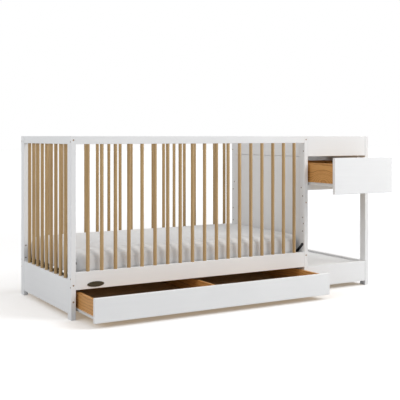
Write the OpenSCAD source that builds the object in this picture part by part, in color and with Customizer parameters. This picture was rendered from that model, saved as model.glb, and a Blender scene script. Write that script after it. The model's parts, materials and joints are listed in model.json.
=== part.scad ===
// Crib with attached changer: spindle crib, under-bed drawer, changer with drawer and open shelf.
// Millimetres, +Z up. Sizes are worked out in a corner frame, with X from the outer face of the
// left end, Y from the front face of the posts and Z from the floor. in_frame() then moves it so
// that the origin lies on the floor, in the middle of the box that the part fills as photographed.

/* [Crib] */
// Length of the crib over its posts
crib_l = 1378; // [1340:1:1400]
// Depth of the crib and of the changer
crib_w = 751; // [735:1:800]
// Height of all the posts
crib_h = 860; // [855:1:880]
// Width of a post along the crib's length
post_x = 24; // [24:1:28]
// Width of a post across the crib
post_y = 45; // [42:1:55]

/* [Rails and panels] */
// Thickness of the front and back rails
rail_t = 20; // [18:1:21]
// Height of the top rails
top_rail_h = 37.5; // [36:0.5:42]
// Underside of the front and back bottom rails
bottom_rail_z = 140.5; // [140:0.5:145]
// Height of the bottom rails
bottom_rail_h = 82; // [75:1:90]
// Underside of the end panels and of the changer's lower aprons
low_z = 26; // [20:1:30]
// Top of the left end's lower panel
end_panel_top = 185; // [180:0.5:195]
// Height of the boards at the top of the changer and of the right end
apron_h = 112; // [108:1:114]

/* [Spindles] */
// Diameter of a round spindle
spindle_d = 18; // [14:0.5:18]
// Spindles in the front and in the back
side_count = 18; // [14:1:18]
// Distance between the side spindles
side_pitch = 70.8; // [66:0.1:71]
// Spindles in the left end
end_count = 9; // [7:1:9]
// Distance between the end spindles
end_pitch = 67.4; // [60:0.1:68]

/* [Changer] */
// Length of the crib and changer together
overall_l = 1815; // [1780:1:1900]
// Top of the open shelf
shelf_top = 129; // [124:1:134]
// Top of the lower aprons
shelf_apron_top = 140; // [138:1:150]
// Underside of the drawer case
case_z = 560; // [554:1:560]
// Top of the tray that a changing pad lies on
tray_top = 766; // [763:1:780]

/* [Under-bed drawer] */
// How far the under-bed drawer stands open
under_open = 222; // [100:1:300]
// Top of the under-bed drawer's front
under_front_top = 138; // [132:1:139]
// Top of the under-bed drawer's sides
under_side_top = 127; // [115:1:130]

/* [Changer drawer] */
// How far the changer's drawer stands open
changer_open = 226; // [150:1:240]
// Underside of the changer drawer's front
changer_front_z = 550; // [545:1:556]
// Top of the changer drawer's front
changer_front_top = 744; // [725:1:746]
// Top of the changer drawer's sides
changer_side_top = 712.5; // [690:0.5:720]

/* [Mattress] */
// Underside of the mattress at its lowest setting
mattress_z = 190.5; // [189:0.5:200]
// Height of the mattress at its edge
mattress_h = 130; // [100:1:150]
// Play between the mattress and the posts at each end
mattress_end_play = 7; // [7:0.5:12]
// Play between the mattress and the rails on each side
mattress_side_play = 6.5; // [6.5:0.5:12]

/* [Hidden] */
$fn = 32;

// Main places
x_mid = crib_l / 2;
y_mid = crib_w / 2;
x_right = crib_l - post_x;
x_far = overall_l - post_x;
y_back = crib_w - post_y;
y_rail = crib_w - rail_t;
bottom_rail_top = bottom_rail_z + bottom_rail_h;
top_rail_z = crib_h - top_rail_h;
apron_z = crib_h - apron_h;
end_inset = 2;
end_t = post_x - end_inset;
post_ease = 1.5;
board_ease = 1;
drawer_ease = 1.5;
seam = 1.5;
// How far a cut runs past the face that it opens in
past = 1;

// Spindle ends
tenon_r = 5;
tenon_l = 15;
tenon_play = 0.15;
tenon_room = 1;

// Bolts that pull the boards against the posts, and their barrel nuts
head_r = 4.2;
head_h = 3;
head_sink = 0.8;
socket_r = 2.3;
socket_h = 2;
shank_r = 3;
bore_play = 0.2;
bolt_grip = 31;
tip_room = 2;
nut_in = 25;
nut_r = 5;
nut_l = 13;
left_end_z = [841, 162, 85];
right_end_z = [841, 494, 204];
rail_bolt_z = [833, 192, 153];
apron_bolt_z = [777, 110, 55];
rail_mid = rail_t / 2;

// Threaded inserts in the posts
insert_r = 4;
insert_l = 12;
insert_play = 0.1;

// Dowels that hold the changer's end panel and side rail
dowel_r = 4;
dowel_l = 30;
dowel_z = [820, 700, 600, 110, 56];
dowel_x = x_far + end_t / 2;

// Changer
case_rail_y = 20;
case_rail_h = 31;
board_t = 15;
cleat = 18;
back_t = 6;

// Slides: a channel on the case and a flanged strip on the drawer, with a roller on each
slide_gap = 13;
slide_t = 1.2;
slide_back = 22;
roller_r = 6;
roller_w = 6;
roller_x = 3.5;
roller_in = 10;
roll_play = 0.3;
pin_r = 1.8;
pin_play = 0.08;
rivet_r = 2.8;
rivet_t = 0.8;
flange_w = 10;
leg_w = 11;
strip_h = 14;
channel_h = 2 * roller_r + 3 * roll_play + 3 * slide_t;

// Drawer boxes
front_t = 18;
side_t = 15;
floor_t = 6;
floor_up = 10;
groove = 5;
groove_play = 0.15;
divider_t = 12;
under_slide_z = 39;
under_depth = 640;
under_slide_l = 600;
under_play = 2.5;
changer_slide_z = 592.5;
changer_depth = 560;
changer_slide_l = 500;
changer_play = 5.5;

// Mattress and its support
mattress_round = 60;
mattress_least_round = 20;
mattress_draw = 5;
crown = 5;
edge_r = 42;
corner_steps = 6;
side_steps = 6;
edge_steps = 5;
crown_steps = 3;
crown_step = 80;
bar_h = 12;
bar_w = 20;
bar_x = 3.5;
bar_y = 4;
slat_count = 12;
slat_pitch = 108;
slat_w = 30;
slat_t = 1.5;
tube_t = 1.5;
arm_t = 3;
arm_w = 15;
hang_y = 16;
hang_z = [264, 336, 411.5, 529.5];
guard_hole = [10, 378];
low_hole_z = [204, 270];
arm_foot = [112, 181];
hang_head_r = 7;
hang_head_h = 3.5;

// Bare oval plate on the front bottom rail
plate_mid = [123, 161];
plate_size = [86, 26];
plate_t = 1.5;
plate_rim = 2.5;
oval_steps = 48;

// ---- Shared shapes ----

module in_frame() {
    translate([-overall_l / 2, -(crib_w - changer_open) / 2, 0]) children();
}

// The same shape again, turned over to the back of the crib
module front_and_back() {
    children();
    translate([0, crib_w, 0]) mirror([0, 1, 0]) children();
}

// The same shape again on the other side of the plane x = at
module mirror_x(at) {
    children();
    translate([2 * at, 0, 0]) mirror([1, 0, 0]) children();
}

// Section of a board with its four long edges eased
module eased(a, b, ease) {
    polygon([[ease, 0], [a - ease, 0], [a, ease], [a, b - ease],
             [a - ease, b], [ease, b], [0, b - ease], [0, ease]]);
}

// Board with its low corner at p, and its eased edges along the axis named by run
module board(p, size, run, ease = board_ease) {
    translate(p) {
        if (run == "x") rotate([90, 0, 90]) linear_extrude(size.x) eased(size.y, size.z, ease);
        if (run == "y") along_y(size.y) eased(size.x, size.z, ease);
        if (run == "z") linear_extrude(size.z) eased(size.x, size.y, ease);
    }
}

// A section drawn in X and Z, run along Y from zero to l
module along_y(l) {
    translate([0, l, 0]) rotate([90, 0, 0]) linear_extrude(l) children();
}

function turn(d) = d.x != 0 ? [0, 90 * d.x, 0] : [-90 * d.y, 0, 0];

module rod(p, dir, r, l) {
    translate(p) rotate(turn(dir)) cylinder(r = r, h = l);
}

function row(count, pitch, mid) = [for (i = [0:count - 1]) mid + (i - (count - 1) / 2) * pitch];

// ---- Bolts ----

// Places in a bolt's list: its outer end, its direction, the way that the nut's hole opens, the
// width of the post that it crosses, and the depth of its axis below the face with that hole
bolt_from = 0;
bolt_dir = 1;
nut_dir = 2;
bolt_cross = 3;
nut_deep = 4;

function end_bolt(x, z, back) = [
    [x, back ? crib_w : 0, z], [0, back ? -1 : 1, 0], [1, 0, 0], post_y, post_x / 2];
function side_bolt(x, dir, y, z, back) = [
    [x, back ? crib_w - y : y, z], [dir, 0, 0], [0, back ? -1 : 1, 0], post_x, rail_mid];

function left_end_bolts(back) = [for (z = left_end_z) end_bolt(post_x / 2, z, back)];
function right_end_bolts(back) = [for (z = right_end_z) end_bolt(crib_l - post_x / 2, z, back)];
function end_bolts_of(back) = concat(left_end_bolts(back), right_end_bolts(back));
function left_rail_bolts(back) = [for (z = rail_bolt_z) side_bolt(0, 1, rail_mid, z, back)];
function right_rail_bolts(back) = [for (z = rail_bolt_z) side_bolt(crib_l, -1, rail_mid, z, back)];
function changer_side_bolts(x, dir, back) = concat(
    [for (z = apron_bolt_z) side_bolt(x, dir, rail_mid, z, back)],
    [side_bolt(x, dir, case_rail_y + rail_mid, case_z + case_rail_h / 2, back)]);
function near_bolts(back) = changer_side_bolts(x_right, 1, back);
function far_bolts(back) = changer_side_bolts(overall_l, -1, back);
function crib_rail_bolts(back) = concat(left_rail_bolts(back), right_rail_bolts(back));
function changer_bolts(back) = concat(near_bolts(back), far_bolts(back));

all_end_bolts = concat(end_bolts_of(false), end_bolts_of(true));
all_rail_bolts = concat(
    crib_rail_bolts(false), crib_rail_bolts(true), changer_bolts(false), changer_bolts(true));

function nut_mid(b) = b[bolt_from] + b[bolt_dir] * (b[bolt_cross] + nut_in);

// The head's recess, the shank's bore and the hole that the barrel nut is put in by
module bolt_rooms(list) {
    for (b = list) {
        rod(b[bolt_from] - b[bolt_dir] * past, b[bolt_dir], head_r + bore_play,
            past + head_sink + head_h);
        rod(b[bolt_from], b[bolt_dir], shank_r + bore_play, b[bolt_cross] + bolt_grip + tip_room);
        rod(nut_mid(b) - b[nut_dir] * (nut_l / 2 + bore_play), b[nut_dir], nut_r + bore_play,
            nut_l / 2 + b[nut_deep] + past);
    }
}

module bolt(b) {
    difference() {
        union() {
            rod(b[bolt_from] + b[bolt_dir] * head_sink, b[bolt_dir], head_r, head_h);
            rod(b[bolt_from] + b[bolt_dir] * (head_sink + head_h / 2), b[bolt_dir], shank_r,
                b[bolt_cross] + bolt_grip - head_h / 2);
        }
        translate(b[bolt_from]) rotate(turn(b[bolt_dir]))
            cylinder(r = socket_r, h = head_sink + socket_h, $fn = 6);
    }
}

module barrel_nut(b) {
    difference() {
        rod(nut_mid(b) - b[nut_dir] * nut_l / 2, b[nut_dir], nut_r, nut_l);
        rod(b[bolt_from], b[bolt_dir], shank_r + bore_play / 2,
            b[bolt_cross] + bolt_grip + nut_in);
    }
}

// ---- Spindles ----

front_spots = [for (x = row(side_count, side_pitch, x_mid)) [x, rail_mid]];
back_spots = [for (x = row(side_count, side_pitch, x_mid)) [x, crib_w - rail_mid]];
left_spots = [for (y = row(end_count, end_pitch, y_mid)) [end_inset + end_t / 2, y]];

// Round spindles whose ends are turned down to sit in the rails
module spindles(spots, low, high) {
    color("tan") in_frame() for (s = spots) {
        translate([s.x, s.y, low - tenon_l]) cylinder(r = tenon_r, h = high - low + 2 * tenon_l);
        translate([s.x, s.y, low]) cylinder(r = spindle_d / 2, h = high - low);
    }
}

module spindle_holes(spots, low, high) {
    for (s = spots) for (z = [low - tenon_l - tenon_room, high - past])
        translate([s.x, s.y, z])
            cylinder(r = tenon_r + tenon_play, h = tenon_l + tenon_room + past);
}

// ---- Crib ----

module post(x, back, bolts) {
    color("white") in_frame() difference() {
        board([x, back ? y_back : 0, 0], [post_x, post_y, crib_h], "z", post_ease);
        bolt_rooms(bolts);
        children();
    }
}

// Where a post of the crib has threaded inserts: for the mattress hangers' bolts and, at the
// front, a guard rail's, on its inner side, and for two fixings low on a left post. Each place
// has the insert's outer end and the way that it goes in.
function insert_spots(right, back) = concat(
    [for (z = hang_z) inner_spot(right, back ? crib_w - hang_y : hang_y, z)],
    back ? [] : [inner_spot(right, guard_hole.x, guard_hole.y)],
    right ? [] : [for (z = low_hole_z)
        [[post_x / 2, back ? y_back : post_y, z], [0, back ? 1 : -1, 0]]]);
function inner_spot(right, y, z) = [[right ? x_right : post_x, y, z], [right ? 1 : -1, 0, 0]];

module insert_rooms(right, back) {
    for (s = insert_spots(right, back))
        rod(s[0] - s[1] * past, s[1], insert_r + insert_play, insert_l + past);
}

module dowel_rooms() {
    front_and_back() for (z = dowel_z)
        rod([dowel_x, post_y - dowel_l / 2 - tenon_room, z], [0, 1, 0],
            dowel_r + tenon_play, dowel_l + 2 * tenon_room);
}

module left_front_post() {
    post(0, false, concat(left_end_bolts(false), left_rail_bolts(false)))
        insert_rooms(false, false);
}

module left_back_post() {
    post(0, true, concat(left_end_bolts(true), left_rail_bolts(true)))
        insert_rooms(false, true);
}

module right_front_post() {
    post(x_right, false, concat(right_end_bolts(false), right_rail_bolts(false), near_bolts(false)))
        insert_rooms(true, false);
}

module right_back_post() {
    post(x_right, true, concat(right_end_bolts(true), right_rail_bolts(true), near_bolts(true)))
        insert_rooms(true, true);
}

// A board of an end, between the front and back posts
module end_board(x, t, low, high, bolts) {
    color("white") in_frame() difference() {
        board([x, post_y, low], [t, y_back - post_y, high - low], "y");
        bolt_rooms(bolts);
        children();
    }
}

module left_top_rail() {
    end_board(end_inset, end_t, top_rail_z, crib_h,
        concat(left_end_bolts(false), left_end_bolts(true)))
        spindle_holes(left_spots, end_panel_top, top_rail_z);
}

module left_lower_panel() {
    end_board(end_inset, end_t, low_z, end_panel_top,
        concat(left_end_bolts(false), left_end_bolts(true)))
        spindle_holes(left_spots, end_panel_top, top_rail_z);
}

module left_spindles() {
    spindles(left_spots, end_panel_top, top_rail_z);
}

module right_upper_board() {
    end_board(x_right, post_x, apron_z, crib_h,
        concat(right_end_bolts(false), right_end_bolts(true)));
}

module right_partition() {
    end_board(x_right, post_x, low_z, apron_z - seam,
        concat(right_end_bolts(false), right_end_bolts(true)));
}

module side_rail(back, low, h) {
    color("white") in_frame() difference() {
        board([post_x, back ? y_rail : 0, low], [x_right - post_x, rail_t, h], "x");
        bolt_rooms(crib_rail_bolts(back));
        spindle_holes(back ? back_spots : front_spots, bottom_rail_top, top_rail_z);
    }
}

module front_top_rail() {
    side_rail(false, top_rail_z, top_rail_h);
}

module front_bottom_rail() {
    side_rail(false, bottom_rail_z, bottom_rail_h);
}

module front_spindles() {
    spindles(front_spots, bottom_rail_top, top_rail_z);
}

module back_top_rail() {
    side_rail(true, top_rail_z, top_rail_h);
}

module back_bottom_rail() {
    side_rail(true, bottom_rail_z, bottom_rail_h);
}

module back_spindles() {
    spindles(back_spots, bottom_rail_top, top_rail_z);
}

function oval(a, b) = [for (i = [0:oval_steps - 1])
    [a / 2 * cos(360 * i / oval_steps), b / 2 * sin(360 * i / oval_steps)]];

// Plain plate with a raised rim; it carries no lettering
module oval_plate() {
    color("dimgray") in_frame() translate([plate_mid.x, 0, plate_mid.y]) rotate([90, 0, 0]) {
        linear_extrude(plate_t / 2) polygon(oval(plate_size.x, plate_size.y));
        translate([0, 0, plate_t / 2]) linear_extrude(plate_t / 2) difference() {
            polygon(oval(plate_size.x, plate_size.y));
            polygon(oval(plate_size.x - 2 * plate_rim, plate_size.y - 2 * plate_rim));
        }
    }
}

// ---- Changer ----

module changer_front_post() {
    post(x_far, false, far_bolts(false)) dowel_rooms();
}

module changer_back_post() {
    post(x_far, true, far_bolts(true)) dowel_rooms();
}

// A board of the changer, from the crib's right post to the far post
module long_board(y, t, low, high, bolts) {
    color("white") in_frame() difference() {
        board([crib_l, y, low], [x_far - crib_l, t, high - low], "x");
        bolt_rooms(bolts);
    }
}

module changer_front_apron() {
    long_board(0, rail_t, apron_z, crib_h, changer_bolts(false));
}

module changer_back_apron() {
    long_board(y_rail, rail_t, apron_z, crib_h, changer_bolts(true));
}

module changer_back_panel() {
    long_board(y_rail, back_t, case_z, apron_z, []);
}

module changing_tray() {
    long_board(rail_t, y_rail - rail_t, tray_top - board_t, tray_top, []);
}

module tray_cleats() {
    color("white") in_frame() mirror_x((crib_l + x_far) / 2)
        board([crib_l, post_y, tray_top - board_t - cleat], [cleat, y_back - post_y, cleat], "y");
}

module case_front_rail() {
    long_board(case_rail_y, rail_t, case_z, case_z + case_rail_h, changer_bolts(false));
}

module case_back_rail() {
    long_board(crib_w - case_rail_y - rail_t, rail_t, case_z, case_z + case_rail_h,
        changer_bolts(true));
}

module shelf_front_apron() {
    long_board(0, rail_t, low_z, shelf_apron_top, changer_bolts(false));
}

module shelf_back_apron() {
    long_board(y_rail, rail_t, low_z, shelf_apron_top, changer_bolts(true));
}

module shelf_board() {
    long_board(rail_t, y_rail - rail_t, shelf_top - board_t, shelf_top, []);
}

module shelf_cleats() {
    color("white") in_frame() front_and_back()
        board([crib_l, rail_t, shelf_top - board_t - cleat], [x_far - crib_l, cleat, cleat], "x");
}

module changer_end_panel() {
    end_board(x_far, end_t, case_z, crib_h, []) dowel_rooms();
}

module shelf_side_rail() {
    end_board(x_far, end_t, low_z, shelf_apron_top, []) dowel_rooms();
}

module dowel_pins() {
    color("tan") in_frame() front_and_back() for (z = dowel_z)
        rod([dowel_x, post_y - dowel_l / 2, z], [0, 1, 0], dowel_r, dowel_l);
}

// ---- Fasteners ----

module end_bolts() {
    color("gray") in_frame() for (b = all_end_bolts) bolt(b);
}

module rail_bolts() {
    color("gray") in_frame() for (b = all_rail_bolts) bolt(b);
}

module barrel_nuts() {
    color("silver") in_frame() for (b = concat(all_end_bolts, all_rail_bolts)) barrel_nut(b);
}

module threaded_inserts() {
    color("dimgray") in_frame() for (right = [false, true], back = [false, true])
        for (s = insert_spots(right, back)) difference() {
            rod(s[0], s[1], insert_r, insert_l);
            rod(s[0] - s[1] * past, s[1], shank_r, insert_l + 2 * past);
        }
}

// ---- Drawers ----

// Places in a drawer's list: the ends of its opening, how far it stands open, the underside and
// top of its front, the top of its sides, the underside of its slides, its depth, the length of
// its slides and the play at each end of its front
from_x = 0;
to_x = 1;
open_by = 2;
front_low = 3;
front_top = 4;
side_top = 5;
slide_low = 6;
depth = 7;
slide_l = 8;
front_play = 9;

under = [post_x, x_right, under_open, low_z, under_front_top, under_side_top,
    under_slide_z, under_depth, under_slide_l, under_play];
changer = [crib_l, x_far, changer_open, changer_front_z, changer_front_top, changer_side_top,
    changer_slide_z, changer_depth, changer_slide_l, changer_play];

function y_in(d) = front_t - d[open_by];
function left_out(d) = d[from_x] + slide_gap;
function box_l(d) = d[to_x] - d[from_x] - 2 * slide_gap;
function side_low(d) = d[slide_low] + slide_t;
function floor_low(d) = side_low(d) + floor_up;
function channel_z(d) = d[slide_low] + strip_h - 2 * slide_t - 2 * roll_play - 2 * roller_r;
function roller_z(d) = channel_z(d) + slide_t + roll_play + roller_r;
function span_mid(d) = (d[from_x] + d[to_x]) / 2;

module floor_groove(d) {
    translate([left_out(d) + side_t - groove, y_in(d) - groove, floor_low(d) - groove_play])
        cube([box_l(d) - 2 * (side_t - groove), d[depth] + groove + past,
            floor_t + 2 * groove_play]);
}

module drawer_front(d) {
    color("white") in_frame() difference() {
        board([d[from_x] + d[front_play], -d[open_by], d[front_low]],
            [d[to_x] - d[from_x] - 2 * d[front_play], front_t, d[front_top] - d[front_low]],
            "x", drawer_ease);
        floor_groove(d);
    }
}

module drawer_side(d, x) {
    color("peru") in_frame() difference() {
        board([x, y_in(d), side_low(d)], [side_t, d[depth], d[side_top] - side_low(d)], "y");
        floor_groove(d);
    }
}

module drawer_left_side(d) {
    drawer_side(d, left_out(d));
}

module drawer_right_side(d) {
    drawer_side(d, left_out(d) + box_l(d) - side_t);
}

module drawer_back(d) {
    low = floor_low(d) + floor_t + groove_play;
    color("peru") in_frame()
        board([left_out(d) + side_t, y_in(d) + d[depth] - side_t, low],
            [box_l(d) - 2 * side_t, side_t, d[side_top] - low], "x");
}

module drawer_floor(d) {
    in = side_t - groove + groove_play;
    color("peru") in_frame()
        translate([left_out(d) + in, y_in(d) - groove + groove_play, floor_low(d)])
            cube([box_l(d) - 2 * in, d[depth] + groove - groove_play, floor_t]);
}

// The strips under the drawer's sides, each with the pin of its rear roller
module drawer_slides(d) {
    web = slide_gap - slide_t;
    color("white") in_frame() mirror_x(span_mid(d)) {
        translate([d[from_x], y_in(d), d[slide_low]]) along_y(d[slide_l])
            polygon([[roller_x, strip_h - slide_t], [web, strip_h - slide_t], [web, 0],
                [slide_gap + leg_w, 0], [slide_gap + leg_w, slide_t], [slide_gap, slide_t],
                [slide_gap, strip_h], [roller_x, strip_h]]);
        roller_pin(d, y_in(d) + d[slide_l] - roller_in, web + slide_t / 2, -1);
    }
}

// A channel of the case, with the pin of its front roller
module fixed_slide(d) {
    mirror_x(span_mid(d)) {
        translate([d[from_x], slide_back, channel_z(d)]) along_y(d[slide_l])
            polygon([[0, 0], [flange_w, 0], [flange_w, slide_t], [slide_t, slide_t],
                [slide_t, channel_h - slide_t], [flange_w, channel_h - slide_t],
                [flange_w, channel_h], [0, channel_h]]);
        roller_pin(d, slide_back + roller_in, slide_t / 2, 1);
    }
}

// Pin from the web at x towards dir, with a rivet head past the roller
module roller_pin(d, y, x, dir) {
    reach = dir > 0 ? roller_x + roller_w + roll_play : roller_x - roll_play;
    rod([d[from_x] + x, y, roller_z(d)], [dir, 0, 0], pin_r, abs(reach - x) + rivet_t);
    rod([d[from_x] + reach, y, roller_z(d)], [dir, 0, 0], rivet_r, rivet_t);
}

module rollers(d, y) {
    color("ivory") in_frame() mirror_x(span_mid(d)) difference() {
        rod([d[from_x] + roller_x, y, roller_z(d)], [1, 0, 0], roller_r, roller_w);
        rod([d[from_x] + roller_x - past, y, roller_z(d)], [1, 0, 0],
            pin_r + pin_play, roller_w + 2 * past);
    }
}

module fixed_slides() {
    color("white") in_frame() {
        fixed_slide(under);
        fixed_slide(changer);
    }
}

module under_drawer_front() {
    drawer_front(under);
}

module under_drawer_left_side() {
    drawer_left_side(under);
}

module under_drawer_right_side() {
    drawer_right_side(under);
}

module under_drawer_back() {
    drawer_back(under);
}

module under_drawer_floor() {
    drawer_floor(under);
}

module under_drawer_divider() {
    low = floor_low(under) + floor_t + groove_play;
    color("peru") in_frame()
        board([x_mid - divider_t / 2, y_in(under), low],
            [divider_t, under[depth] - side_t, under_side_top - low], "y");
}

module under_drawer_slides() {
    drawer_slides(under);
}

module under_front_rollers() {
    rollers(under, slide_back + roller_in);
}

module under_rear_rollers() {
    rollers(under, y_in(under) + under[slide_l] - roller_in);
}

module changer_drawer_front() {
    drawer_front(changer);
}

module changer_drawer_left_side() {
    drawer_left_side(changer);
}

module changer_drawer_right_side() {
    drawer_right_side(changer);
}

module changer_drawer_back() {
    drawer_back(changer);
}

module changer_drawer_floor() {
    drawer_floor(changer);
}

module changer_drawer_slides() {
    drawer_slides(changer);
}

module changer_front_rollers() {
    rollers(changer, slide_back + roller_in);
}

module changer_rear_rollers() {
    rollers(changer, y_in(changer) + changer[slide_l] - roller_in);
}

// ---- Mattress and its support ----

mattress_l = x_right - post_x - 2 * mattress_end_play;
mattress_w = crib_w - 2 * rail_t - 2 * mattress_side_play;
// Point of the outline at the angle a on the arc of corner c, drawn in by inset
function on_corner(c, inset, a) =
    let (r = max(mattress_round - inset / 2, mattress_least_round),
         right = c == 0 || c == 3 ? 1 : -1,
         up = c < 2 ? 1 : -1)
    [right * (mattress_l / 2 - inset - r), up * (mattress_w / 2 - inset - r)] + r * [cos(a), sin(a)];

// Points of the side after corner c, which pulls in between its ends
function on_side(c, inset) =
    let (out = 90 * (c + 1),
         a = on_corner(c, inset, out),
         b = on_corner((c + 1) % 4, inset, out))
    [for (j = [1:side_steps])
        let (t = j / (side_steps + 1))
        a + (b - a) * t - mattress_draw * sin(180 * t) * [cos(out), sin(out)]];

function outline(inset) = [for (c = [0:3]) each concat(
    [for (i = [0:corner_steps]) on_corner(c, inset, 90 * (c + i / corner_steps))],
    on_side(c, inset))];

// Rings of the mattress: round lower edge, round upper edge, then the crown; height and inset
function edge_ring(i) =
    let (a = 90 * i / edge_steps)
    [edge_r * (1 - cos(a)), edge_r * (1 - sin(a))];
mattress_rings = concat(
    [for (i = [0:edge_steps]) edge_ring(i)],
    [for (i = [edge_steps:-1:0]) [mattress_h - edge_ring(i)[0], edge_ring(i)[1]]],
    [for (i = [1:crown_steps])
        [mattress_h + crown * (1 - pow(1 - i / crown_steps, 2)), edge_r + i * crown_step]]);

module mattress() {
    n = 4 * (corner_steps + 1 + side_steps);
    k = len(mattress_rings);
    points = concat(
        [for (r = mattress_rings) each [for (p = outline(r[1])) [p.x, p.y, r[0]]]],
        [[0, 0, 0], [0, 0, mattress_h + crown]]);
    sides = [for (j = [0:k - 2]) for (i = [0:n - 1])
        let (a = j * n + i, b = j * n + (i + 1) % n)
        each [[a, a + n, b + n], [a, b + n, b]]];
    under_fan = [for (i = [0:n - 1]) [k * n, i, (i + 1) % n]];
    top_fan = [for (i = [0:n - 1]) [k * n + 1, (k - 1) * n + (i + 1) % n, (k - 1) * n + i]];
    color("whitesmoke") in_frame() translate([x_mid, y_mid, mattress_z])
        polyhedron(points, concat(sides, under_fan, top_fan), convexity = 4);
}

support_top = mattress_z - slat_t;
bar_from = [post_x + bar_x, rail_t + bar_y];

// Square-cornered steel tube, open at both ends
module tube(p, size, run) {
    along = run == "x" ? [1, 0, 0] : [0, 1, 0];
    wall = ([1, 1, 1] - along) * tube_t;
    color("#202020") in_frame() difference() {
        board(p, size, run);
        translate(p + wall - along * past) cube(size - 2 * wall + 2 * along * past);
    }
}

module mattress_long_bars() {
    for (y = [bar_from.y, y_mid - bar_w / 2, crib_w - bar_from.y - bar_w])
        tube([bar_from.x + bar_w, y, support_top - bar_h],
            [crib_l - 2 * (bar_from.x + bar_w), bar_w, bar_h], "x");
}

module mattress_end_bars() {
    for (x = [bar_from.x, crib_l - bar_from.x - bar_w])
        tube([x, bar_from.y, support_top - bar_h], [bar_w, crib_w - 2 * bar_from.y, bar_h], "y");
}

module mattress_slats() {
    color("#202020") in_frame() for (x = row(slat_count, slat_pitch, x_mid))
        translate([x - slat_w / 2, bar_from.y, support_top])
            cube([slat_w, crib_w - 2 * bar_from.y, slat_t]);
}

// Sloping arms that hang the support from the posts
module mattress_hangers() {
    run = [arm_foot.x - hang_y, arm_foot.y - hang_z[0]];
    color("#202020") in_frame() front_and_back() mirror_x(x_mid) difference() {
        translate([bar_from.x - arm_t, hang_y, hang_z[0]]) rotate([90, 0, 90])
            rotate([0, 0, atan2(run.y, run.x)]) translate([-arm_w / 2, -arm_w / 2, 0])
                linear_extrude(arm_t) eased(norm(run) + arm_w, arm_w, arm_w / 3);
        rod([bar_from.x - arm_t - past, hang_y, hang_z[0]], [1, 0, 0],
            shank_r + bore_play, arm_t + 2 * past);
    }
}

module hanger_bolts() {
    color("#303030") in_frame() front_and_back() mirror_x(x_mid) difference() {
        union() {
            rod([bar_from.x, hang_y, hang_z[0]], [1, 0, 0], hang_head_r, hang_head_h);
            rod([bar_from.x - arm_t, hang_y, hang_z[0]], [1, 0, 0], shank_r, arm_t + hang_head_h / 2);
        }
        translate([bar_from.x + hang_head_h - socket_h, hang_y, hang_z[0]]) rotate([0, 90, 0])
            cylinder(r = socket_r, h = socket_h + past, $fn = 6);
    }
}

left_front_post();
left_back_post();
left_top_rail();
left_lower_panel();
left_spindles();
front_top_rail();
front_bottom_rail();
front_spindles();
back_top_rail();
back_bottom_rail();
back_spindles();
right_front_post();
right_back_post();
right_upper_board();
right_partition();
changer_front_post();
changer_back_post();
changer_front_apron();
changer_back_apron();
changer_end_panel();
changer_back_panel();
changing_tray();
tray_cleats();
case_front_rail();
case_back_rail();
shelf_front_apron();
shelf_back_apron();
shelf_side_rail();
shelf_board();
shelf_cleats();
dowel_pins();
end_bolts();
rail_bolts();
barrel_nuts();
threaded_inserts();
oval_plate();
fixed_slides();
under_drawer_front();
under_drawer_left_side();
under_drawer_right_side();
under_drawer_back();
under_drawer_divider();
under_drawer_floor();
under_drawer_slides();
under_front_rollers();
under_rear_rollers();
changer_drawer_front();
changer_drawer_left_side();
changer_drawer_right_side();
changer_drawer_back();
changer_drawer_floor();
changer_drawer_slides();
changer_front_rollers();
changer_rear_rollers();
mattress();
mattress_long_bars();
mattress_end_bars();
mattress_slats();
mattress_hangers();
hanger_bolts();
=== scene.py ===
import json
import math

import bmesh
import bpy
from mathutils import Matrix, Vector, noise


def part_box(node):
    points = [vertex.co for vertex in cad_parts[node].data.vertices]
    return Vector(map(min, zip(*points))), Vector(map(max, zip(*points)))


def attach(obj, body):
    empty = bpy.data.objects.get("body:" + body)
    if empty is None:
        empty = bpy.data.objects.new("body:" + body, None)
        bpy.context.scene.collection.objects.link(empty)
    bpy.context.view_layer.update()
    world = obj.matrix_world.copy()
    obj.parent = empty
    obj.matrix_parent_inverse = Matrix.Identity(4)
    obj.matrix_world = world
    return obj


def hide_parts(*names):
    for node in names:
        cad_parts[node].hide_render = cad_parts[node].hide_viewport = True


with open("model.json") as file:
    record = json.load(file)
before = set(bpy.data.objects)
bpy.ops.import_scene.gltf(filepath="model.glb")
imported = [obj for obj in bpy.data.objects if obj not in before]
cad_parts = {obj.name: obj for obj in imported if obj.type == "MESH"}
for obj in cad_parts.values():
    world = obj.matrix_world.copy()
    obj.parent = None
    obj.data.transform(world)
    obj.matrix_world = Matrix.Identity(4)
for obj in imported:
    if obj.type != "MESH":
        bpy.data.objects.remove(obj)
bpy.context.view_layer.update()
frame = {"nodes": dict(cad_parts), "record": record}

# Spindle crib with a changer: the finish of every board, rod and fitting, the mattress in its
# cover, and the studio. Lengths are in metres.
NODES = frame["nodes"]
SLOTS = {part["node"]: part["material_slot"] for part in frame["record"]["subparts"]}

# ---- Sizes of the finishes ----

# Grain, patches, clouds and the like are in lumps a metre: one number for every direction, or three
# of them, which go along, across and through a board, but on X, Y and Z in rods and plating. A
# depth is the height of a finish's relief and a speck is the size of a coating's grain, both in
# metres. A gloss is the strength of the clear reflection.
PAINT_WHITE = (0.86, 0.86, 0.86)
PAINT_SHADE = (0.835, 0.835, 0.835)
PAINT_GRAIN = (2.2, 60, 60)
PAINT_PATCH = 3.1
PAINT_PEEL = 520
PAINT_DEPTH = 0.00022
PAINT_GLOSS = 0.13
# Painted shadow of the gap at the far post's joint: its colour, and the half width of the line
JOINT_GAP_SHADOW = (0.35, 0.35, 0.35)
JOINT_HALF = 0.0007
OAK_LIGHT = (0.70, 0.375, 0.125)
OAK_MID = (0.585, 0.285, 0.082)
OAK_DARK = (0.36, 0.15, 0.038)
OAK_PORE = (0.20, 0.08, 0.02)
OAK_PALE = (0.80, 0.64, 0.42)
OAK_SLOW = (3.5, 9, 9)
OAK_SWAY = (14, 70, 70)
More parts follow.
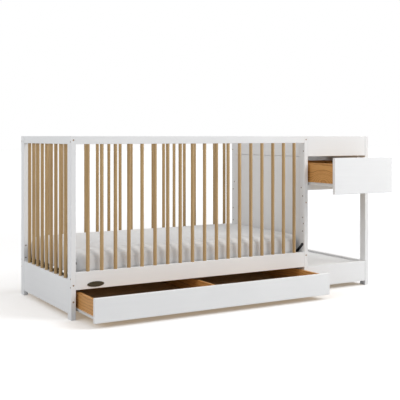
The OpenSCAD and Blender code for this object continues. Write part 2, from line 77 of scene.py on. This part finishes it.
OAK_FIBRE = (16, 520, 520)
OAK_BAND = (3, 60, 60)
OAK_PORES = (55, 1500, 1500)
OAK_DEPTH = 0.00022
OAK_GLOSS = 0.28
ROD_LIGHT = (0.51, 0.338, 0.15)
ROD_DARK = (0.33, 0.201, 0.078)
ROD_GRAIN = (150, 150, 5)
ROD_FINE = (900, 900, 26)
ROD_SHIFT = 3.7
ROD_DEPTH = 0.00012
ROD_GLOSS = 0.6
GAPS_IN_ROW = {"front_spindles": 17, "back_spindles": 17, "left_spindles": 8}
DOWEL_PITCH = 0.05
EPOXY_WHITE = (0.80, 0.80, 0.79)
EPOXY_SPECK = 0.0007
POWDER_BLACK = (0.022, 0.022, 0.023)
POWDER_SPECK = 0.0006
COATING_PATCH = 22
BRONZED_STEEL = (0.42, 0.31, 0.23)
BRIGHT_ZINC = (0.68, 0.69, 0.70)
PLATING_CLOUD = 260
PLATING_SCRATCH = (300, 4000, 4000)
PLATING_DEPTH = 0.00003
NYLON_LIGHT = (0.86, 0.85, 0.81)
NYLON_DARK = (0.78, 0.77, 0.72)
NYLON_FLOW = 140
NYLON_SKIN = 2600
NYLON_DEPTH = 0.00004
BRONZE_DARK = (0.036, 0.029, 0.016)
BRONZE_LIGHT = (0.080, 0.062, 0.033)
BRONZE_RIM_LIGHTER = (0.17, 0.14, 0.09)
BRONZE_CLOUD = 190
BRONZE_DEPTH = 0.0001
SHEET_WHITE = (0.785, 0.785, 0.785)
SHEET_SHADE = (0.755, 0.755, 0.76)
KNIT_PITCH = 0.0014
KNIT_LOOPS = 1.3
KNIT_UNEVEN = 13
KNIT_LINT = 900
KNIT_DEPTH = 0.0003
KNIT_GLOSS = 0.2


# ---- Finishes as expressions ----

class Value:
    """A number that varies over a surface. Python's operators on it add Math nodes."""

    def __init__(self, finish, socket):
        self.finish = finish
        self.socket = socket

    def _with(self, operation, *numbers):
        return self.finish.node("Math", {"operation": operation}, dict(enumerate(numbers)))

    def __add__(self, other):
        return self._with("ADD", self, other)

    def __radd__(self, other):
        return self._with("ADD", other, self)

    def __sub__(self, other):
        return self._with("SUBTRACT", self, other)

    def __rsub__(self, other):
        return self._with("SUBTRACT", other, self)

    def __mul__(self, other):
        return self._with("MULTIPLY", self, other)

    def __rmul__(self, other):
        return self._with("MULTIPLY", other, self)

    def __truediv__(self, other):
        return self._with("DIVIDE", self, other)

    def __pow__(self, other):
        return self._with("POWER", self, other)

    def whole(self):
        return self._with("FLOOR", self)

    def part(self):
        return self._with("FRACT", self)

    def wave(self):
        return self._with("SINE", self)

    def size(self):
        return self._with("ABSOLUTE", self)

    def between(self, low, high):
        """0 at low and under, 1 at high and over, and smooth in between."""
        return self.finish.node(
            "MapRange", {"interpolation_type": "SMOOTHSTEP"},
            {"Value": self, "From Min": low, "From Max": high})

    def output(self, name):
        """Another output of the same node."""
        return Value(self.finish, self.socket.node.outputs[name])


# A Mix node has several sockets of each name, so those for colours go by number
MIX_SHARE, MIX_FIRST, MIX_SECOND, MIX_RESULT = 0, 6, 7, 2


class Tree:
    """The nodes of a material, or of the world."""

    def __init__(self, tree):
        self.tree = tree
        tree.nodes.clear()

    def node(self, kind, settings=None, sockets=None, out=0):
        """Adds a node, makes its settings, and then gives its sockets their numbers or links."""
        made = self.tree.nodes.new("ShaderNode" + kind)
        for name, value in (settings or {}).items():
            setattr(made, name, value)
        for name, value in (sockets or {}).items():
            self.put(made.inputs[name], value)
        return Value(self, made.outputs[out])

    def put(self, socket, value):
        if isinstance(value, Value):
            self.tree.links.new(value.socket, socket)
        elif socket.type == "RGBA" and len(value) == 3:
            socket.default_value = (*value, 1)
        else:
            socket.default_value = value

    def mix(self, share, first, second):
        """The first colour at a share of 0, and the second one at 1."""
        return self.node(
            "Mix", {"data_type": "RGBA"},
            {MIX_SHARE: share, MIX_FIRST: first, MIX_SECOND: second}, out=MIX_RESULT)


class Finish(Tree):
    """One material, made from the place of each point in the object."""

    def __init__(self, name):
        self.material = bpy.data.materials.new(name)
        self.material.use_nodes = True
        super().__init__(self.material.node_tree)
        self.shader = self.tree.nodes.new("ShaderNodeBsdfPrincipled")
        end = self.tree.nodes.new("ShaderNodeOutputMaterial")
        self.tree.links.new(self.shader.outputs["BSDF"], end.inputs["Surface"])
        self.spot = self.node("TexCoord", out="Object")
        self.xyz = self.node("SeparateXYZ", sockets={"Vector": self.spot})

    def axis(self, i):
        return self.xyz.output("XYZ"[i])

    def vector(self, x, y, z):
        return self.node("CombineXYZ", sockets={"X": x, "Y": y, "Z": z})

    def speckle(self, spot, scale, detail=2.0, roughness=0.5):
        """Noise from 0 to 1 with about scale lumps a metre."""
        return self.node("TexNoise", sockets={
            "Vector": spot, "Scale": scale, "Detail": detail, "Roughness": roughness})

    def bump(self, height, depth, strength=1.0):
        """A normal for a height from 0 to 1 that stands for depth metres."""
        return self.node("Bump", sockets={
            "Height": height, "Distance": depth, "Strength": strength})

    def set(self, **sockets):
        """Gives the shader's sockets their values, with _ for the spaces of their names."""
        for name, value in sockets.items():
            self.put(self.shader.inputs[name.replace("_", " ")], value)
        return self.material


def board_axes(node):
    """The axes along, across and through a board, by its three sizes."""
    low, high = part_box(node)
    return sorted(range(3), key=lambda i: low[i] - high[i])


def from_middle(finish, node, axes):
    """How far each point is from the board's middle, along those axes."""
    low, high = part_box(node)
    return [finish.axis(i) - (low[i] + high[i]) / 2 for i in axes]


def stretched(finish, axes, scales):
    """The point's place, scaled by so much on each of those axes."""
    scaled = {axis: finish.axis(axis) * scale for axis, scale in zip(axes, scales)}
    return finish.vector(*(scaled[i] for i in range(3)))


# ---- Painted boards ----

def white_paint(axes):
    """Satin paint on wood: fine orange peel, the grain just telling through it, and a dark line of
    painted shadow where the boards meet the far post, standing in for the shade in the gap there."""
    f = Finish("white_paint_along_" + "xyz"[axes[0]])
    grain = f.speckle(stretched(f, axes, PAINT_GRAIN), 1, 4, 0.62)
    patch = f.speckle(f.spot, PAINT_PATCH, 2)
    peel = f.speckle(f.spot, PAINT_PEEL, 2)
    tone = (grain - 0.5) * 0.55 + patch
    paint = f.mix(tone.between(0.3, 0.75), PAINT_SHADE, PAINT_WHITE)
    # Painted shadow: a dark line at the far post's joint stands in for the shade in the gap there
    if axes[0] == 0:
        from_joint = (f.axis(0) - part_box("changer_front_apron")[1].x).size()
        paint = f.mix(from_joint.between(JOINT_HALF, 1.5 * JOINT_HALF), JOINT_GAP_SHADOW, paint)
    return f.set(
        Base_Color=paint,
        Roughness=0.37 + 0.10 * patch + 0.05 * grain,
        Normal=f.bump(grain * 0.65 + peel * 0.35, PAINT_DEPTH, 0.55),
        Specular_IOR_Level=PAINT_GLOSS)


# ---- Oak of the drawers ----

# How a board was cut from the trunk: how far the trunk's heart lies to one side of the board's
# middle, how steeply the rings run out along it, how deep the heart lies, how far apart the rings
# are, how much paler than the rest the board is (under 0 is deeper), and where a swelling of the
# trunk draws closed figures, as shares of the board's half length and half width
STRAIGHT = {"heart": 0.16, "slope": 0.012, "deep": 0.05, "gap": 0.015, "pale": -0.2}
ARCHED = {"heart": 0.018, "slope": 0.085, "deep": 0.034, "gap": 0.0085}
CUTS = {
    "under_drawer_left_side": STRAIGHT,
    "under_drawer_right_side": {"heart": -0.10, "slope": 0.03, "deep": 0.06, "gap": 0.012},
    "under_drawer_floor": {"heart": 0.05, "slope": 0.03, "deep": 0.09, "gap": 0.03, "pale": 0.38},
    "under_drawer_divider": STRAIGHT,
    "changer_drawer_floor": {"heart": 0.05, "slope": 0.03, "deep": 0.09, "gap": 0.02, "pale": 1.0},
    "changer_drawer_left_side": {"heart": 0.03, "slope": -0.06, "deep": 0.03, "gap": 0.012,
                                 "swelling": (-0.68, -0.45)},
}
SWELL_REACH = 0.06
SWELL_LONG = 0.5
SWELL_RINGS = 4.5


def faded(colour, share):
    """The colour made paler by that share, or deeper where the share is under 0."""
    end = OAK_PALE if share > 0 else OAK_DARK
    return tuple(c + abs(share) * (e - c) for c, e in zip(colour, end))


def oak(node, seed):
    """Lacquered oak. Its growth rings are cones round the trunk's heart, so where they come out
    on a board they run as lines or long arches along it."""
    f = Finish("oak_" + node)
    axes = board_axes(node)
    low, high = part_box(node)
    along, across, through = from_middle(f, node, axes)
    cut = CUTS.get(node, ARCHED)
    slow = f.speckle(stretched(f, axes, OAK_SLOW), 1, 2)
    sway = f.speckle(stretched(f, axes, OAK_SWAY), 1, 3)
    depth = through + along * cut["slope"] + cut["deep"]
    off = across - cut["heart"]
    radius = (off * off + depth * depth) ** 0.5
    rings = radius / cut["gap"] + slow * 3.0 + sway * 0.5 + seed
    if "swelling" in cut:
        from_it = [place - share * (high[i] - low[i]) / 2
                   for place, share, i in zip((along, across), cut["swelling"], axes)]
        reach = ((from_it[0] * SWELL_LONG) ** 2 + from_it[1] ** 2) ** 0.5
        rings = rings + SWELL_RINGS * (1 - reach.between(0, SWELL_REACH))
    ring = rings.part()
    year = f.node("TexWhiteNoise", {"noise_dimensions": "1D"}, {"W": rings.whole()})
    early = 1 - ring.between(0.02, 0.42) + ring.between(0.9, 1.0)
    fibre = f.speckle(stretched(f, axes, OAK_FIBRE), 1, 3, 0.62)
    band = f.speckle(stretched(f, axes, OAK_BAND), 1, 3).between(0.3, 0.7)
    pores = f.speckle(stretched(f, axes, OAK_PORES), 1, 1).between(0.6, 0.68)
    pale = cut.get("pale", 0.0)
    light, mid, dark = (faded(colour, pale) for colour in (OAK_LIGHT, OAK_MID, OAK_DARK))
    wood = f.mix(0.25 * year + 0.25 * fibre + 0.5 * band, light, mid)
    lined = f.mix(early * (0.42 + 0.42 * year), wood, dark)
    streaked = f.mix(fibre.between(0.5, 0.78) * 0.4, lined, dark)
    pored = pores * (0.25 + 0.75 * early)
    return f.set(
        Base_Color=f.mix(pored * 0.7, streaked, OAK_PORE),
        Roughness=0.44 + 0.12 * fibre + 0.14 * pored,
        Normal=f.bump(0.4 * fibre - pored - 0.25 * early, OAK_DEPTH, 0.7),
        Specular_IOR_Level=OAK_GLOSS)


# ---- Turned rods ----

def rod_wood(name, side, pitch, middle):
    """Light hardwood with upright grain, each rod from its own stick. side is the axis in which
    the rods of the row stand, pitch apart."""
    f = Finish(name)
    stick = ((f.axis(side) - middle) / pitch).whole()
    chance = f.node("TexWhiteNoise", {"noise_dimensions": "1D"}, {"W": stick})
    tint = chance.output("Value")
    spread, rise = ROD_GRAIN[0], ROD_GRAIN[2]
    upright = f.vector(f.axis(0) * spread, f.axis(1) * spread, f.axis(2) * rise + stick * ROD_SHIFT)
    grain = f.speckle(upright, 1, 3, 0.6)
    fine = f.speckle(stretched(f, (0, 1, 2), ROD_FINE), 1, 2)
    dark = 0.62 * grain.between(0.3, 0.72) + 0.3 * fine + 0.34 * (tint - 0.5)
    return f.set(
        Base_Color=f.mix(dark, ROD_LIGHT, ROD_DARK),
        Roughness=0.34 + 0.14 * fine,
        Normal=f.bump(0.7 * fine + 0.3 * grain, ROD_DEPTH, 0.6),
        Specular_IOR_Level=ROD_GLOSS)


def row_of_rods(node, side):
    """The pitch of a row of rods and the middle of its first rod, from the row's box."""
    low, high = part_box(node)
    rod = min(high.x - low.x, high.y - low.y)
    return (high[side] - low[side] - rod) / GAPS_IN_ROW[node], low[side] + rod / 2


# ---- Metal, nylon and the plate ----

def coated_steel(name, colour, roughness, speck):
    """Baked powder on steel: a fine grain of rounded specks."""
    f = Finish(name)
    grain = f.speckle(f.spot, 1 / speck, 2)
    patch = f.speckle(f.spot, COATING_PATCH, 2)
    darker = tuple(0.86 * c for c in colour)
    return f.set(
        Base_Color=f.mix(0.5 * patch + 0.4 * grain, colour, darker),
        Roughness=roughness + 0.12 * grain,
        Normal=f.bump(grain, 0.12 * speck, 0.7))


def plated_steel(name, colour, roughness):
    """Plated steel with fine turning scratches and a little cloudiness."""
    f = Finish(name)
    cloud = f.speckle(f.spot, PLATING_CLOUD, 3)
    scratch = f.speckle(stretched(f, (0, 1, 2), PLATING_SCRATCH), 1, 1)
    darker = tuple(0.6 * c for c in colour)
    return f.set(
        Base_Color=f.mix(cloud.between(0.35, 0.7), colour, darker),
        Roughness=roughness + 0.22 * cloud + 0.05 * scratch,
        Normal=f.bump(scratch, PLATING_DEPTH, 0.5), Metallic=1.0)


def nylon():
    """Moulded nylon: milky, with faint flow marks."""
    f = Finish("nylon")
    flow = f.speckle(f.spot, NYLON_FLOW, 3)
    skin = f.speckle(f.spot, NYLON_SKIN, 1)
    return f.set(
        Base_Color=f.mix(flow, NYLON_LIGHT, NYLON_DARK),
        Roughness=0.4 + 0.12 * flow,
        Normal=f.bump(skin, NYLON_DEPTH, 0.6))


def dark_bronze():
    """The bare oval plate: dark bronze, lighter and smoother on its raised rim."""
    f = Finish("dark_bronze")
    low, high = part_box("oval_plate")
    middle, half = (low + high) / 2, (high - low) / 2
    out = (((f.axis(0) - middle.x) / half.x) ** 2 + ((f.axis(2) - middle.z) / half.z) ** 2) ** 0.5
    cloud = f.speckle(f.spot, BRONZE_CLOUD, 4, 0.6)
    # The raised rim is made lighter and smoother than the rest of the plate
    lighter_rim = out.between(0.80, 0.97) * cloud.between(0.3, 0.6)
    patina = f.mix(cloud, BRONZE_DARK, BRONZE_LIGHT)
    return f.set(
        Base_Color=f.mix(lighter_rim * 0.5, patina, BRONZE_RIM_LIGHTER),
        Roughness=0.5 + 0.15 * cloud - 0.12 * lighter_rim,
        Normal=f.bump(cloud, BRONZE_DEPTH, 0.5), Metallic=0.45)


# ---- Mattress cover ----

def knit_cover():
    """White jersey drawn tight: rows of small loops, and a soft unevenness in the cloth."""
    f = Finish("knit_cover")
    turn = 2 * math.pi / KNIT_PITCH
    ribs = ((f.axis(0) + f.axis(1)) * turn).wave().size()
    loops = ((f.axis(1) + f.axis(2)) * (turn * KNIT_LOOPS)).wave().size()
    uneven = f.speckle(f.spot, KNIT_UNEVEN, 3)
    lint = f.speckle(f.spot, KNIT_LINT, 2)
    return f.set(
        Base_Color=f.mix(0.55 * uneven + 0.3 * lint, SHEET_WHITE, SHEET_SHADE),
        Roughness=0.82 + 0.1 * lint,
        Normal=f.bump(0.5 * ribs * loops + 0.3 * lint, KNIT_DEPTH, 0.5),
        Sheen_Weight=0.25, Sheen_Roughness=0.5, Specular_IOR_Level=KNIT_GLOSS)


# ---- The finishes go on ----

def finish_of(node, number, made):
    """The finish of a node by its slot in the record. Boards share one for each direction."""
    slot, axes = SLOTS[node], board_axes(node)
    if slot == "drawer_wood":
        return oak(node, number)
    if slot == "spindle_wood" and node != "dowel_pins":
        side = 1 if node == "left_spindles" else 0
        pitch, first = row_of_rods(node, side)
        return rod_wood("rod_wood_" + node, side, pitch, first - pitch / 2)
    key = (slot, axes[0]) if slot == "white_paint" else slot
    if key not in made:
        made[key] = {
            "white_paint": lambda: white_paint(axes),
            "spindle_wood": lambda: rod_wood("dowel_wood", 0, DOWEL_PITCH, 0),
            "white_steel": lambda: coated_steel("white_epoxy", EPOXY_WHITE, 0.34, EPOXY_SPECK),
            "black_steel": lambda: coated_steel("black_powder", POWDER_BLACK, 0.5, POWDER_SPECK),
            "bolt_steel": lambda: plated_steel("bronzed_steel", BRONZED_STEEL, 0.36),
            "zinc_steel": lambda: plated_steel("bright_zinc", BRIGHT_ZINC, 0.25),
            "nylon": nylon,
            "dark_plate": dark_bronze,
            "mattress_cover": knit_cover,
        }[slot]()
    return made[key]


def put_on(obj, material):
    obj.data.materials.clear()
    obj.data.materials.append(material)


made_finishes = {}
for number, node in enumerate(sorted(NODES)):
    put_on(NODES[node], finish_of(node, number, made_finishes))


# ---- Mattress ----

PLAN_ROUND = 0.06
TOP_ROUND = 0.036
LOW_ROUND = 0.018
SIDE_DRAW = 0.005
CROWN = 0.005
# The cover's top stands this much over the CAD mattress
TOP_LIFT = 0.0015
ARC_STEPS = 8
SIDE_STEPS = 12
START_INSET = 0.005
VOXEL = 0.008
PRESSURE = 4.0
SIM_FRAMES = 20
MOST_SWELL = 0.007
SLATS_GAP = 0.0003
CLOTH_QUALITY = 4
SMOOTHING = 0.5
SMOOTH_BEFORE = 3
SMOOTH_AFTER = 2
# Unevenness of the cloth: its lumps a metre, and how high they stand
LUMPS = ((4.2, 0.0011), (17, 0.0004))


def select_only(obj):
    bpy.ops.object.select_all(action="DESELECT")
    obj.select_set(True)
    bpy.context.view_layer.objects.active = obj


def apply(obj, kind, **settings):
    modifier = obj.modifiers.new(kind.lower(), kind)
    for name, value in settings.items():
        setattr(modifier, name, value)
    select_only(obj)
    bpy.ops.object.modifier_apply(modifier=modifier.name)


def plan(half, inset):
    """Outline of the mattress seen from above: round corners, and sides drawn in between them."""
    bend = PLAN_ROUND - inset
    points = []
    for quarter in range(4):
        turn = quarter * math.pi / 2
        sign_x, sign_y = ((1, 1), (-1, 1), (-1, -1), (1, -1))[quarter]
        middle = Vector((sign_x * (half.x - PLAN_ROUND), sign_y * (half.y - PLAN_ROUND)))
        for i in range(ARC_STEPS + 1):
            at = turn + i / ARC_STEPS * math.pi / 2
            points.append(middle + bend * Vector((math.cos(at), math.sin(at))))
        side = half.x - PLAN_ROUND if quarter % 2 == 0 else half.y - PLAN_ROUND
        run = Vector((-math.sin(turn + math.pi / 2), math.cos(turn + math.pi / 2)))
        out = Vector((math.cos(turn + math.pi / 2), math.sin(turn + math.pi / 2)))
        start = points[-1].copy()
        for i in range(1, SIDE_STEPS):
            share = i / SIDE_STEPS
            drawn = SIDE_DRAW * 4 * share * (1 - share)
            points.append(start + run * (2 * side * share) - out * drawn)
    return points


def profile(low, high):
    """Insets and heights up the side: a tight lower edge and a full upper one."""
    steps = [math.pi / 2 * i / ARC_STEPS for i in range(ARC_STEPS + 1)]
    lower = [(LOW_ROUND * (1 - math.sin(a)), low + LOW_ROUND * (1 - math.cos(a))) for a in steps]
    upper = [(TOP_ROUND * (1 - math.cos(a)), high - TOP_ROUND * (1 - math.sin(a))) for a in steps]
    return lower + upper


def start_shape(low, high):
    """The closed mattress, a little smaller than the space that it fills."""
    half = (high - low) / 2 - Vector((START_INSET, START_INSET, 0))
    middle = (low + high) / 2
    bm = bmesh.new()
    rings = [[bm.verts.new((middle.x + p.x, middle.y + p.y, z)) for p in plan(half, inset)]
             for inset, z in profile(low.z + START_INSET, high.z - CROWN - START_INSET)]
    for under, over in zip(rings, rings[1:]):
        for i in range(len(under)):
            bm.faces.new((under[i - 1], under[i], over[i], over[i - 1]))
    bm.faces.new(reversed(rings[0]))
    bm.faces.new(rings[-1])
    mesh = bpy.data.meshes.new("mattress_in_cover")
    bm.to_mesh(mesh)
    bm.free()
    return mesh


def swell(obj):
    """Blows the closed shape up as cloth under pressure, each point by MOST_SWELL at most."""
    start = [v.co.copy() for v in obj.data.vertices]
    cloth = obj.modifiers.new("cloth", "CLOTH")
    cloth.settings.use_pressure = True
    cloth.settings.uniform_pressure_force = PRESSURE
    cloth.settings.effector_weights.gravity = 0
    cloth.settings.quality = CLOTH_QUALITY
    cloth.point_cache.frame_end = SIM_FRAMES
    for step in range(1, SIM_FRAMES + 1):
        bpy.context.scene.frame_set(step)
    select_only(obj)
    bpy.ops.object.modifier_apply(modifier=cloth.name)
    bpy.context.scene.frame_set(1)
    for v, was in zip(obj.data.vertices, start):
        moved = v.co - was
        if moved.length > MOST_SWELL:
            v.co = was + moved * (MOST_SWELL / moved.length)


def settle(obj, low, high):
    """Fits the cloth to the space between the rails and over the slats, crowns its top and lets
    it lie a little unevenly."""
    places = [v.co.copy() for v in obj.data.vertices]
    least = Vector(min(p[i] for p in places) for i in range(3))
    most = Vector(max(p[i] for p in places) for i in range(3))
    top = high.z - CROWN + TOP_LIFT
    normals = [v.normal.copy() for v in obj.data.vertices]
    for v, outward in zip(obj.data.vertices, normals):
        share = Vector((v.co[i] - least[i]) / (most[i] - least[i]) for i in range(3))
        from_edge = [4 * s * (1 - s) for s in share[:2]]
        lumps = sum(noise.noise(v.co * scale) * height for scale, height in LUMPS)
        place = Vector(low[i] + share[i] * (high[i] - low[i]) for i in range(3))
        place.z = low.z + share.z * (top - low.z)
        place += outward * lumps
        place.z += share.z * CROWN * (from_edge[0] * from_edge[1]) ** 0.5
        place.x = min(max(place.x, low.x), high.x)
        place.y = min(max(place.y, low.y), high.y)
        place.z = min(max(place.z, low.z + SLATS_GAP), high.z + TOP_LIFT)
        v.co = place


def make_mattress():
    low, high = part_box("mattress")
    pad = bpy.data.objects.new("mattress_in_cover", start_shape(low, high))
    bpy.context.scene.collection.objects.link(pad)
    apply(pad, "REMESH", mode="VOXEL", voxel_size=VOXEL, use_smooth_shade=True)
    apply(pad, "SMOOTH", factor=SMOOTHING, iterations=SMOOTH_BEFORE)
    swell(pad)
    apply(pad, "SMOOTH", factor=SMOOTHING, iterations=SMOOTH_AFTER)
    settle(pad, low, high)
    apply(pad, "SUBSURF", levels=1)
    pad.data.shade_smooth()
    put_on(pad, made_finishes["mattress_cover"])
    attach(pad, "mattress_support")
    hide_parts("mattress")


make_mattress()


# ---- Studio ----

FLOOR_REACH = 40.0
FLOOR_COLOUR = (0.57, 0.575, 0.58)
FLOOR_SEEN = (0.84, 0.895, 0.955)
FLOOR_GLOW = (0.275, 0.215, 0.15)
FAR_GLOW = (0.42, 0.38, 0.33)
FAR_FLOOR = (2.6, 6.0)
AMBIENT = (0.616, 0.628, 0.644)
SKY_TILT = (-0.12, 0.06)
WHITE = (1, 1, 1)
BLACK = (0, 0, 0)
KEY_LEVEL = 0.87
LAMP_COLOUR = (1.0, 0.985, 0.965)
KEY_WIDTH = math.radians(24)
KEY_AZIMUTH = math.radians(48)
KEY_HEIGHT = math.radians(45)
KEY_AWAY = 6
RIGHT_LAMP = {"power": 22.5, "size": 1.6, "place": (1.8, -2.2, 1.7), "at": (0.5, -0.1, 0.5)}
LEFT_LAMP = {"power": 21, "size": 1.8, "place": (-3.6, -0.8, 2.4), "at": (-0.7, 0.0, 0.5)}
TOP_LAMP = {"power": 3, "size": 1.0, "place": (1.0, -0.1, 2.1), "at": (0.6, 0.0, 0.4)}
GLOSS_PANEL = {"power": 90, "size": 3.2, "tall": 2.2, "place": (4.0, -1.1, 0.7),
               "at": (0.1, -0.25, 0.6), "gloss_only": True}
CAMERA_PLACE = (-2.2794, -3.8557, 0.8596)
CAMERA_TURN = (math.radians(90), 0, math.radians(-30.69))
SENSOR_WIDTH = 36
LENS = 73.31
CAMERA_SHIFT = (-0.0292, -0.1595)


def seen_directly(tree):
    """1 for the camera's own rays and for those that metal and glass send on, and 0 for light."""
    rays = tree.node("LightPath", out="Is Camera Ray")
    return (rays + rays.output("Is Glossy Ray") + rays.output("Is Transmission Ray")).between(0, 1)


def add_to_scene(name, data):
    obj = bpy.data.objects.new(name, data)
    bpy.context.scene.collection.objects.link(obj)
    return obj


def make_floor():
    mesh = bpy.data.meshes.new("floor")
    r = FLOOR_REACH
    mesh.from_pydata([(-r, -r, 0), (r, -r, 0), (r, r, 0), (-r, r, 0)], [], [(0, 1, 2, 3)])
    floor = add_to_scene("floor", mesh)
    f = Finish("pale_floor")
    seen = seen_directly(f)
    away = (f.axis(0) ** 2 + f.axis(1) ** 2) ** 0.5
    glow = f.mix(away.between(*FAR_FLOOR), FLOOR_GLOW, FAR_GLOW)
    put_on(floor, f.set(
        Base_Color=f.mix(seen, FLOOR_COLOUR, FLOOR_SEEN), Roughness=0.9, Specular_IOR_Level=0.0,
        Emission_Color=f.mix(seen, BLACK, glow), Emission_Strength=1.0))


def make_world():
    """A plain light from all round, a little brighter from the left and the back. A mix's share
    stops at 1, so the level goes in halved and the colour doubled."""
    world = bpy.data.worlds.new("studio")
    bpy.context.scene.world = world
    world.use_nodes = True
    w = Tree(world.node_tree)
    way = w.node("SeparateXYZ", sockets={"Vector": w.node("TexCoord", out="Generated")})
    level = 1 + SKY_TILT[0] * way + SKY_TILT[1] * way.output("Y")
    light = w.mix(level / 2, BLACK, tuple(2 * c for c in AMBIENT))
    sky = w.node("Background", sockets={"Color": w.mix(seen_directly(w), light, WHITE)})
    end = w.tree.nodes.new("ShaderNodeOutputWorld")
    w.put(end.inputs["Surface"], sky)


def aim(obj, at):
    obj.rotation_euler = (Vector(at) - obj.location).to_track_quat("-Z", "Y").to_euler()


def make_key():
    sun = add_to_scene("key", bpy.data.lights.new("key", "SUN"))
    flat = math.cos(KEY_HEIGHT)
    sun.location = KEY_AWAY * Vector((
        flat * math.sin(KEY_AZIMUTH), -flat * math.cos(KEY_AZIMUTH), math.sin(KEY_HEIGHT)))
    aim(sun, (0, 0, 0))
    sun.data.energy = KEY_LEVEL
    sun.data.color = LAMP_COLOUR
    sun.data.angle = KEY_WIDTH


def make_lamp(name, power, size, place, at, tall=None, gloss_only=False):
    lamp = add_to_scene(name, bpy.data.lights.new(name, "AREA"))
    lamp.location = place
    aim(lamp, at)
    lamp.data.energy = power
    lamp.data.color = LAMP_COLOUR
    lamp.data.shape = "RECTANGLE"
    lamp.data.size = size
    lamp.data.size_y = tall or size
    lamp.visible_camera = False
    lamp.visible_diffuse = not gloss_only


def make_camera():
    camera = add_to_scene("camera", bpy.data.cameras.new("camera"))
    camera.location = CAMERA_PLACE
    camera.rotation_euler = CAMERA_TURN
    camera.data.sensor_width = SENSOR_WIDTH
    camera.data.lens = LENS
    camera.data.shift_x, camera.data.shift_y = CAMERA_SHIFT
    bpy.context.scene.camera = camera


make_floor()
make_world()
make_key()
make_lamp("right_lamp", **RIGHT_LAMP)
make_lamp("left_lamp", **LEFT_LAMP)
make_lamp("top_lamp", **TOP_LAMP)
make_lamp("gloss_panel", **GLOSS_PANEL)
make_camera()
bpy.context.scene.view_settings.view_transform = "Standard"
